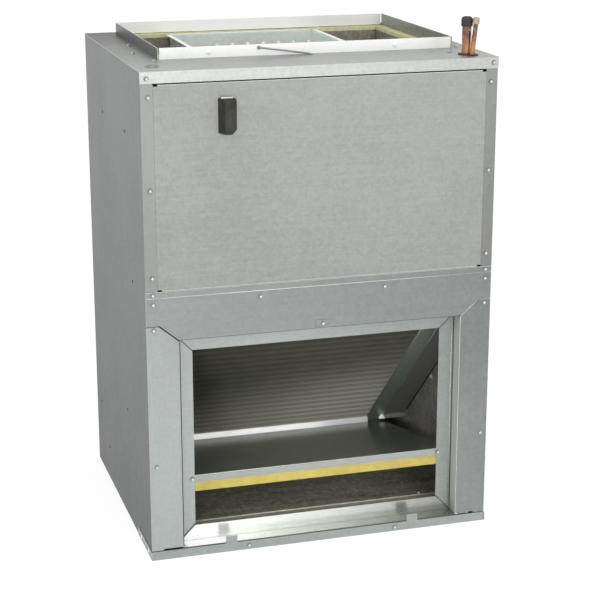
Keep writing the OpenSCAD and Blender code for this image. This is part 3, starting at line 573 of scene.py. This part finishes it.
def eased(node, radius, slot):
    """Breaks every sharp edge of a moulded piece and smooths its round faces."""
    bm = copy_of(node)
    sharp = [e for e in bm.edges if len(e.link_faces) == 2 and e.calc_face_angle() > SHARP]
    round_edges(bm, sharp, radius, INSIDE_STEPS)
    for face in bm.faces:
        face.smooth = True
    for edge in bm.edges:
        edge.smooth = len(edge.link_faces) == 2 and edge.calc_face_angle() < SHARP
    piece = make_piece(node + "_eased", bm, slot, FINISH[node])
    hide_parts(node)


def retone(piece, material, wanted):
    """Gives a finish of its own to the faces of a piece that pass a test."""
    mesh = piece.data
    mesh.materials.append(material)
    for face in mesh.polygons:
        if wanted(face):
            face.material_index = len(mesh.materials) - 1


# Depths behind the cabinet's front that tell the ring and the panel's strips from what stands before them
RING_FROM, STRIP_FROM = 20, -0.5
SQUARE_ON, LEANING = 0.9, 0.2


def faces_front(face):
    """True for a face that looks straight to the front."""
    return face.normal.y < -SQUARE_ON


def is_ring(face):
    """True for the recessed ring of a strip round the return opening."""
    return faces_front(face) and face.center.y > at(0, RING_FROM, 0).y


def is_panel_strip(face):
    """True for the access panel's lower strips at both sides."""
    return faces_front(face) and face.center.y > at(0, STRIP_FROM, 0).y


def is_panel_step(face):
    """True for the small steps down to those strips."""
    return abs(face.normal.x) > LEANING


for node_name in ("front_base_rail", "mid_rail"):
    folded(node_name, BEND)
retone(folded("return_stile_right", BEND), sheet_ring, is_ring)
# The header, the left stile and the sill have their bends darkened: painted shade
for node_name in ("return_header", "return_stile_left"):
    retone(folded(node_name, BEND, bends=crease_shade), sheet_ring, is_ring)
folded("return_sill", BEND, bends=crease_shade)
# The side panels' bends take sheet_corner, a painted highlight
for node_name in ("left_side_panel", "right_side_panel"):
    folded(node_name, SIDE_BEND, bends=sheet_corner)
# The top panel's bends, rims and front faces are paler than its plate: painted highlights
retone(folded("top_panel", BEND, bends=sheet_lip, rims=sheet_lip), sheet_front_lip, faces_front)
panel = folded("access_panel", BEND)
retone(panel, sheet_panel, is_panel_step)
retone(panel, sheet_strip, is_panel_strip)
for node_name in (
    "collar_front", "collar_back", "collar_left", "collar_right", "duct_left", "duct_right", "duct_back",
    "duct_front", "drain_pan", "coil_foot_channel", "coil_end_plate_left", "coil_end_plate_right",
    "coil_top_baffle",
):
    folded(node_name, SMALL_BEND)
for node_name in ("blank_off_left", "blank_off_right"):
    folded(node_name, SMALL_BEND, "dark_sheet")
eased("panel_pull", 0.7, "black_plastic")
eased("suction_cap", 0.3, "rubber")
eased("liquid_cap", 0.3, "beige_plastic")
eased("tube_grommet", 0.4, "rubber")
eased("suction_tube", 0.2, "copper")
eased("liquid_tube", 0.2, "copper")
eased("heater_bushings", 0.6, "ceramic")
eased("collar_stay", 0.3, "galvanised")


def coil_point(x, up, deep):
    """A point of the coil: so far up its face from the foot, so far into its depth."""
    lean = math.radians(COIL_TILT)
    return at(
        x, COIL_FOOT_Y - up * math.cos(lean) + deep * math.sin(lean),
        COIL_FOOT_Z + up * math.sin(lean) + deep * math.cos(lean))


def make_fins():
    """The coil's fins: thin plates with a rippled front and back edge."""
    low, high = span("coil_fin_pack")
    count = int((high.x - low.x - FIN_T) / FIN_PITCH) + 1
    bm = bmesh.new()
    outline = [(i * RIPPLE_PITCH / 2, RIPPLE * (i % 2)) for i in range(2 * RIPPLES + 1)]
    outline += [(up, COIL_T - deep) for up, deep in reversed(outline)]
    fin = bm.faces.new([bm.verts.new(coil_point(low.x, up, deep)) for up, deep in outline])
    wall = bmesh.ops.extrude_face_region(bm, geom=[fin])
    moved = [v for v in wall["geom"] if isinstance(v, bmesh.types.BMVert)]
    bmesh.ops.translate(bm, verts=moved, vec=(FIN_T * MM, 0, 0))
    bmesh.ops.recalc_face_normals(bm, faces=bm.faces[:])
    first = bm.verts[:] + bm.edges[:] + bm.faces[:]
    for index in range(1, count):
        made = bmesh.ops.duplicate(bm, geom=first)
        moved = [v for v in made["geom"] if isinstance(v, bmesh.types.BMVert)]
        bmesh.ops.translate(bm, verts=moved, vec=(index * FIN_PITCH * MM, 0, 0))
    piece = make_piece("coil_fins", bm, "fins", fin_metal)
    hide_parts("coil_fin_pack")


make_fins()


def facing_out(place, outward):
    """The matrix of a thing that stands on a place and points outward."""
    return Matrix.Translation(place) @ Vector(outward).to_track_quat("Z", "Y").to_matrix().to_4x4()


WASHER_R, WASHER_T, WASHER_TAPER = 4.3, 0.8, 0.86
HEAD_R, HEAD_H, HEAD_TAPER = 3.3, 2.6, 0.92
DISH, DISH_RIM = 0.6, 1.5
# Degrees that each screw is turned past the one before
SCREW_TURN = 37


def hex_screw(bm, place, outward, turn):
    """A hex washer head screw with a dished top."""
    seat = facing_out(place, outward) @ Matrix.Rotation(turn, 4, "Z")
    bmesh.ops.create_cone(
        bm, cap_ends=True, segments=18, radius1=WASHER_R * MM, radius2=WASHER_R * WASHER_TAPER * MM,
        depth=WASHER_T * MM, matrix=seat @ Matrix.Translation((0, 0, WASHER_T * MM / 2)))
    head = bmesh.ops.create_cone(
        bm, cap_ends=True, segments=6, radius1=HEAD_R * MM, radius2=HEAD_R * HEAD_TAPER * MM,
        depth=HEAD_H * MM, matrix=seat @ Matrix.Translation((0, 0, (WASHER_T + HEAD_H / 2) * MM)))
    axis = seat.to_3x3() @ Vector((0, 0, 1))
    for face in {f for v in head["verts"] for f in v.link_faces}:
        face.material_index = 1
        face.normal_update()
        # The dished top takes the near-white zinc, a painted highlight
        if face.normal.dot(axis) > SQUARE_ON:
            bmesh.ops.inset_individual(bm, faces=[face], thickness=DISH_RIM * MM, depth=-DISH * MM)
            face.material_index = 2


def screws(name, places, outward, finishes=(zinc_washer, zinc_head, zinc_bright)):
    """A piece of several screws that point the same way."""
    bm = bmesh.new()
    for index, place in enumerate(places):
        hex_screw(bm, at(*place), outward, math.radians(SCREW_TURN * index))
    make_piece(name, bm, "galvanised", *finishes)


def dome(bm, place, outward, radius, height):
    """A low dome with a closed flat foot, such as a rivet head or a dimple."""
    seat = facing_out(place, outward)
    made = bmesh.ops.create_uvsphere(
        bm, u_segments=16, v_segments=8, radius=radius * MM,
        matrix=seat @ Matrix.Diagonal((1, 1, height / radius, 1)))
    faces = {f for v in made["verts"] for f in v.link_faces}
    edges = {e for v in made["verts"] for e in v.link_edges}
    cut = bmesh.ops.bisect_plane(
        bm, geom=made["verts"] + list(edges) + list(faces), dist=WELD, plane_co=place,
        plane_no=seat.to_3x3() @ Vector((0, 0, 1)), clear_inner=True)
    rim = [e for e in cut["geom_cut"] if isinstance(e, bmesh.types.BMEdge)]
    bmesh.ops.holes_fill(bm, edges=rim, sides=len(rim))
    for vert in (v for v in cut["geom"] if isinstance(v, bmesh.types.BMVert)):
        for face in vert.link_faces:
            face.smooth = True


def domes(name, places, outward, radius, height, material, slot="galvanised"):
    """A piece of several domes that point the same way."""
    bm = bmesh.new()
    for place in places:
        dome(bm, at(*place), outward, radius, height)
    make_piece(name, bm, slot, material)


def ring(bm, place, outward, radius, wire):
    """A closed ring of round wire."""
    seat = facing_out(place, outward)
    start = bmesh.ops.create_circle(
        bm, segments=8, radius=wire * MM,
        matrix=seat @ Matrix.Translation((radius * MM, 0, 0)) @ Matrix.Rotation(math.pi / 2, 4, "X"))
    edges = list({e for v in start["verts"] for e in v.link_edges})
    bmesh.ops.spin(
        bm, geom=start["verts"] + edges, cent=place, axis=seat.to_3x3() @ Vector((0, 0, 1)),
        angle=2 * math.pi, steps=24, use_merge=True)
    for face in bm.faces:
        face.smooth = True


def rod(bm, start, end, radius):
    """A round bar between two points."""
    run = end - start
    seat = facing_out((start + end) / 2, run)
    made = bmesh.ops.create_cone(
        bm, cap_ends=True, segments=10, radius1=radius * MM, radius2=radius * MM, depth=run.length,
        matrix=seat)
    for vert in made["verts"]:
        for face in vert.link_faces:
            face.smooth = len(face.verts) == 4


FRONT, LEFT, RIGHT, BACK, UP = (0, -1, 0), (-1, 0, 0), (1, 0, 0), (0, 1, 0), (0, 0, 1)
# Screws and rivets along the edges: distance from the sides, height on the base rail
EDGE_X, BASE_Z = 12, 8
BOTH_X = (EDGE_X, CAB_W - EDGE_X)
BASE_RIVETS_Y = (25, 85)
TOP_SCREWS = ((45, 107), (43, 306), (30, 208), (588, 134), (594, 420))
SIDE_RIVETS = ((347, 718), (143, 719), (109, 467), (460, 133), (190, 209), (385, 66))
BACK_RIVETS_Z = (60, 290, 520, 750)
# Radius and height of each kind of dome
RIVET, SIDE_RIVET = (4.0, 0.9), (3.2, 1.2)
COLLAR_DIMPLE, PANEL_DIMPLE = (4.5, 2.0), (2.0, 0.8)
LINER_PIN = (4.5, 3.0)
screws("screws_lip", [(10, -SHEET, 827), (CAB_W - 8, -SHEET, 829)], FRONT)
screws("screws_panel", [(x, 0, z) for x in BOTH_X for z in (797, 646, 500)], FRONT)
screws("screws_rail", [(x, 0, 471) for x in BOTH_X], FRONT)
screws("screws_header", [(x, 0, 455) for x in (EDGE_X, 195, 414, CAB_W - EDGE_X)], FRONT)
screws("screws_stile", [(x, 0, z) for x in BOTH_X for z in (411, 170)], FRONT)
screws("screws_ring", [(x, 28, 130) for x in (79, CAB_W - 81)], FRONT)
screws("screws_base", [(x, -SHEET, BASE_Z) for x in (171, 439)], FRONT)
domes("rivets_base_left", [(-SHEET, y, BASE_Z) for y in BASE_RIVETS_Y], LEFT, *RIVET, zinc_bright)
domes("rivets_base_right", [(CAB_W + SHEET, y, BASE_Z) for y in BASE_RIVETS_Y], RIGHT, *RIVET, zinc_bright)
screws("screws_top", [(x, y, CAB_H) for x, y in TOP_SCREWS], UP)
screws("screws_clip", [(304, -SHEET, 399)], FRONT)
screws("screw_floor", [(520, 92, span("floor_liner")[1].z)], UP, [zinc_bright] * 3)
domes("rivets_back", [(x, CAB_D, z) for x in BOTH_X for z in BACK_RIVETS_Z], BACK, *RIVET, zinc_bright)
domes("rivets_left", [(0, y, z) for y, z in SIDE_RIVETS], LEFT, *SIDE_RIVET, zinc_rivet)
domes("rivets_right", [(CAB_W, y, z) for y, z in SIDE_RIVETS], RIGHT, *SIDE_RIVET, zinc_rivet)
collar_y = span("collar_front")[1].y - SHEET
domes("dimples_collar", [(x, collar_y, 847) for x in (143, 472)], FRONT, *COLLAR_DIMPLE, sheet_collar)
domes("pin_liner", [(span("liner_right")[0].x, 236, 198)], LEFT, *LINER_PIN, pin_plastic, "beige_plastic")
domes("dimple_panel", [(211, -0.9, 490)], FRONT, *PANEL_DIMPLE, sheet_panel)

# The front, as in the solids: stiles, ring, base rail, the panel's side strips and the two filter tabs
STILE_W, RING_W, RAIL_H, STRIP_W = 55.5, 27.5, 15.5, 20
TABS = ((130, 150), (462, 482))
# Where the creases of the ring lie, and the mitres of header and stiles
CREASE_Y, CREASE_TOP, LEFT_CREASE_Y, LEFT_CREASE_TOP = 27.5, 388, 4.5, 386
MITRE_X, MITRE_TOP, MITRE_LOW = 22, 417, 389
# Radii of the seam lines: painted highlights, painted shade in gaps, deep shadows and the slit's edge
HIGHLIGHT_R, GAP_SHADE_R, SHADOW_R, SLIT_R = 0.5, 0.7, 1.1, 1.2
# Hems of the end plates, eyes of the stay, rings of the knockout and the floor liner's film
HEM_IN, HEM_DEEP, HEM_R = 1, 0.3, 0.8
EYE_R, EYE_WIRE = 2.6, 0.9
KNOCKOUT_X, KNOCKOUT_Y, KNOCKOUT_RINGS = 31, 52, ((12.0, 0.7), (8.0, 0.5))
FILM_IN, FILM_R = 2, 1.3
# Tape round the tubes, with the run of the leaning tube over its length
TAPE_T, TAPE_W, TAPE_Z, TUBE_LEAN_X = 0.4, 6.0, (868.0, 881.0), 6.0
# The pull's spring clip and the tab at the coil's foot
CLIP_IN, CLIP_D, CLIP_H, CLIP_ROUND = 7, 7, 3, 0.8
FOOT_TAB_R, FOOT_TAB_T, FOOT_TAB_FACING = 8, 1.2, (-0.3, -1, 0.6)


def rods(name, runs, radius, material, slot):
    """A piece of several round bars."""
    bm = bmesh.new()
    for start, end in runs:
        rod(bm, start, end, radius)
    make_piece(name, bm, slot, material)


def make_hems():
    """Bright hems down both long edges of the coil's end plates."""
    runs = []
    for node in ("coil_end_plate_left", "coil_end_plate_right"):
        low, high = span(node)
        for x in (low.x + HEM_IN, high.x - HEM_IN):
            runs.append((coil_point(x, 0, HEM_DEEP), coil_point(x, COIL_LENGTH - HEM_IN, HEM_DEEP)))
    rods("end_plate_hems", runs, HEM_R, sheet_lip, "galvanised")


def make_stay_eyes():
    """The flattened eyes at both ends of the wire stay."""
    bm = bmesh.new()
    low, high = span("collar_stay")
    ring(bm, at(low.x + 1, low.y + 9, high.z - 2), FRONT, EYE_R, EYE_WIRE)
    ring(bm, at(high.x + 1, low.y + 1, low.z + 1.2), UP, EYE_R, EYE_WIRE)
    make_piece("stay_eyes", bm, "galvanised", zinc_wire)


def make_knockout():
    """The pressed rings of a knockout in the top plate."""
    bm = bmesh.new()
    for radius, wire in KNOCKOUT_RINGS:
        ring(bm, at(KNOCKOUT_X, KNOCKOUT_Y, CAB_H), UP, radius, wire)
    make_piece("knockout", bm, "galvanised", sheet_side)


def make_liner_edge():
    """The folded film along the front edge of the floor liner."""
    low, high = span("floor_liner")
    run = (at(low.x + FILM_IN, low.y + 1, high.z), at(high.x - FILM_IN, low.y + 1, high.z))
    rods("floor_liner_edge", [run], FILM_R, pale_facing, "faced_liner")


def make_tape():
    """Clear tape wound round both tubes, in two bands."""
    suction_low, suction_high = span("suction_tube")
    liquid_low, liquid_high = span("liquid_tube")
    centre = (suction_low + suction_high) / 2
    radius = (suction_high.x - suction_low.x) / 2 + TAPE_T
    bm = bmesh.new()
    for z in TAPE_Z:
        lean = (z - CAB_H) / (liquid_high.z - CAB_H)
        small = (liquid_high.y - liquid_low.y) / 2 + TAPE_T
        small_x = liquid_high.x - small - (1 - lean) * TUBE_LEAN_X
        band = []
        for x, y, r in ((centre.x, centre.y, radius), (small_x, (liquid_low.y + liquid_high.y) / 2, small)):
            made = bmesh.ops.create_cone(
                bm, segments=24, radius1=r * MM, radius2=r * MM, depth=TAPE_W * MM,
                matrix=Matrix.Translation(at(x, y, z)))
            band += made["verts"]
        hull = bmesh.ops.convex_hull(bm, input=band)
        bmesh.ops.delete(bm, geom=hull["geom_interior"] + hull["geom_unused"], context="VERTS")
    for face in bm.faces:
        face.smooth = abs(face.normal.z) < 0.5
    make_piece("tube_tape", bm, "beige_plastic", clear_tape)


def make_seam_lines():
    """Lines along the seams of the front: painted highlights on bends and edges, painted shade in gaps and
    creases, and deep shadows.
    """
    rail_z = span("mid_rail")[0].z
    crease_x = CAB_W - STILE_W
    slit_z = span("return_stile_right")[0].z + 1.3
    lip_z = span("top_panel")[0].z - 1.0
    liner_x = span("liner_right")[0].x
    gap_z = RAIL_H + 0.3
    # Painted highlights: the mid rail's lower edge, the right mitre and the right ring's crease
    bright = [
        (at(2, 0.1, rail_z), at(CAB_W - 2, 0.1, rail_z)),
        (at(CAB_W - MITRE_X, 0.0, MITRE_TOP), at(crease_x, 0.0, MITRE_LOW)),
        (at(crease_x - 4, CREASE_Y + 0.3, 30), at(crease_x - 4, CREASE_Y + 0.3, CREASE_TOP)),
    ]
    rods("painted_highlight_lines", bright, HIGHLIGHT_R, edge_highlight, "galvanised")
    # Dark rods as painted shade in the gaps and creases, and in the gap above the base rail
    dark = [
        (at(crease_x - 0.6, CREASE_Y, 22), at(crease_x - 0.6, CREASE_Y, CREASE_TOP)),
        (at(CAB_W + 0.4, -1.3, 1), at(CAB_W + 0.4, -1.3, RAIL_H - 1)),
        (at(STILE_W + 1, CREASE_Y, 19.5), at(STILE_W + RING_W - 0.5, CREASE_Y, 19.5 + RING_W)),
        (at(crease_x - 1, CREASE_Y, 18), at(crease_x - RING_W + 0.5, CREASE_Y, 18 + RING_W)),
    ]
    for start, end in ((STILE_W, TABS[0][0]), (TABS[0][1], TABS[1][0]), (TABS[1][1], crease_x)):
        dark.append((at(start + 0.5, 0.4, gap_z), at(end - 0.5, 0.4, gap_z)))
    rods("painted_shade_lines", dark, GAP_SHADE_R, crease_shade, "galvanised")
    left_crease_x = STILE_W + 0.7
    deep = [
        (at(left_crease_x, LEFT_CREASE_Y, 20), at(left_crease_x, LEFT_CREASE_Y, LEFT_CREASE_TOP)),
        (at(MITRE_X, 0.2, MITRE_TOP), at(STILE_W - 0.5, 0.2, MITRE_LOW)),
        (at(STRIP_W, -0.1, lip_z), at(CAB_W - STRIP_W, -0.1, lip_z)),
        (coil_point(liner_x - 1, 20, -0.4), coil_point(liner_x - 1, 250, -0.4)),
    ]
    rods("seam_shadows", deep, SHADOW_R, seam_shadow, "galvanised")
    slit = (at(crease_x, 0.9, slit_z), at(CAB_W - 30, 0.9, slit_z))
    rods("slit_edge", [slit], SLIT_R, sheet_stile, "galvanised")


def make_pull_clip():
    """The bright spring clip on top of the pull."""
    low, high = span("panel_pull")
    bm = bmesh.new()
    size = Vector((high.x - low.x - CLIP_IN, CLIP_D, CLIP_H)) * MM
    middle = at((low.x + high.x) / 2, high.y - 5, high.z + 1)
    bmesh.ops.create_cube(bm, size=1.0, matrix=Matrix.Translation(middle) @ Matrix.Diagonal((*size, 1)))
    round_edges(bm, bm.edges[:], CLIP_ROUND, 2)
    make_piece("pull_clip", bm, "galvanised", zinc_bright)


def make_foot_tab():
    """The bright corner at the right end of the coil's foot."""
    right_x = span("coil_end_plate_right")[1].x
    bm = bmesh.new()
    seat = facing_out(at(right_x - 4, COIL_FOOT_Y - 4, COIL_FOOT_Z - 2), FOOT_TAB_FACING)
    bmesh.ops.create_cone(
        bm, cap_ends=True, segments=3, radius1=FOOT_TAB_R * MM, radius2=FOOT_TAB_R * MM,
        depth=FOOT_TAB_T * MM, matrix=seat)
    make_piece("foot_tab", bm, "galvanised", sheet_foot)


make_seam_lines()
make_pull_clip()
make_foot_tab()
make_hems()
make_stay_eyes()
make_knockout()
make_liner_edge()
make_tape()


# Stage, light and camera

WHITE = (1.0, 1.0, 1.0, 1.0)
FLOOR_SIZE, FLOOR_GLOW, FLOOR_GLOW_SHARE = 30.0, 1.1, 0.75


def seen_directly(tree):
    """1 for what the eye, reflections and clear things see, else 0."""
    path = add(tree, "ShaderNodeLightPath").outputs
    seen = math_node(tree, "MAXIMUM", path["Is Camera Ray"], path["Is Glossy Ray"])
    return math_node(tree, "MAXIMUM", seen, path["Is Transmission Ray"])


def mix_shaders(tree, factor, first, second):
    """Two shaders, mixed by a factor."""
    made = add(tree, "ShaderNodeMixShader")
    for place, socket in enumerate((factor, first.outputs[0], second.outputs[0])):
        tree.links.new(socket, made.inputs[place])
    return made.outputs[0]


def make_floor():
    """A pale floor that takes shadows and melts into the white background."""
    made, tree, shader = new_material("pale_floor", {"Base Color": (0.9, 0.9, 0.9, 1.0), "Roughness": 0.9})
    white = add(tree, "ShaderNodeEmission", {"Color": WHITE, "Strength": FLOOR_GLOW})
    share = math_node(tree, "MULTIPLY", seen_directly(tree), FLOOR_GLOW_SHARE)
    both = mix_shaders(tree, share, shader, white)
    tree.links.new(both, tree.nodes["Material Output"].inputs["Surface"])
    bm = bmesh.new()
    bmesh.ops.create_grid(bm, x_segments=1, y_segments=1, size=FLOOR_SIZE)
    floor = place_mesh("floor", bm, made)


def make_world(strength):
    """White to the eye and to reflections, and a plain soft light on everything else."""
    world = bpy.data.worlds.new("studio")
    bpy.context.scene.world = world
    world.use_nodes = True
    tree = world.node_tree
    tree.nodes.clear()
    soft = add(tree, "ShaderNodeBackground", {"Color": WHITE, "Strength": strength})
    white = add(tree, "ShaderNodeBackground", {"Color": WHITE, "Strength": 1.0})
    both = mix_shaders(tree, seen_directly(tree), soft, white)
    tree.links.new(both, add(tree, "ShaderNodeOutputWorld").inputs["Surface"])


def soft_lamp(name, place, target, size, watts, mirrored=True, spread=180):
    """A square lamp that points at a target."""
    lamp = bpy.data.lights.new(name, "AREA")
    lamp.shape = "SQUARE"
    lamp.size = size
    lamp.energy = watts
    lamp.spread = math.radians(spread)
    holder = bpy.data.objects.new(name, lamp)
    bpy.context.scene.collection.objects.link(holder)
    holder.visible_glossy = mirrored
    holder.location = place
    holder.rotation_euler = (Vector(target) - Vector(place)).to_track_quat("-Z", "Y").to_euler()


CAMERA_PLACE = (-0.820, -2.851, 1.229)
CAMERA_DOWN, CAMERA_RIGHT = 16.17, 16.69
CAMERA_LENS, SENSOR_W = 100.7, 36.0


def make_camera():
    """The photo's viewpoint, with a plain lens."""
    lens = bpy.data.cameras.new("camera")
    lens.sensor_width = SENSOR_W
    lens.lens = CAMERA_LENS
    camera = bpy.data.objects.new("camera", lens)
    bpy.context.scene.collection.objects.link(camera)
    camera.location = CAMERA_PLACE
    camera.rotation_euler = (math.radians(90 - CAMERA_DOWN), 0, math.radians(-CAMERA_RIGHT))
    bpy.context.scene.camera = camera


make_floor()
make_world(0.95)
soft_lamp("key", (-1.4, -2.2, 2.8), (0, 0, 0.4), 1.6, 18)
soft_lamp("front", (0.4, -3.4, 1.0), (0, 0, 0.2), 1.5, 66, mirrored=False)
soft_lamp("low", (-0.75, -1.7, 0.62), (0.16, 0.12, 0.1), 0.35, 0.24, mirrored=False, spread=20)
make_camera()
bpy.context.scene.view_settings.view_transform = "Standard"
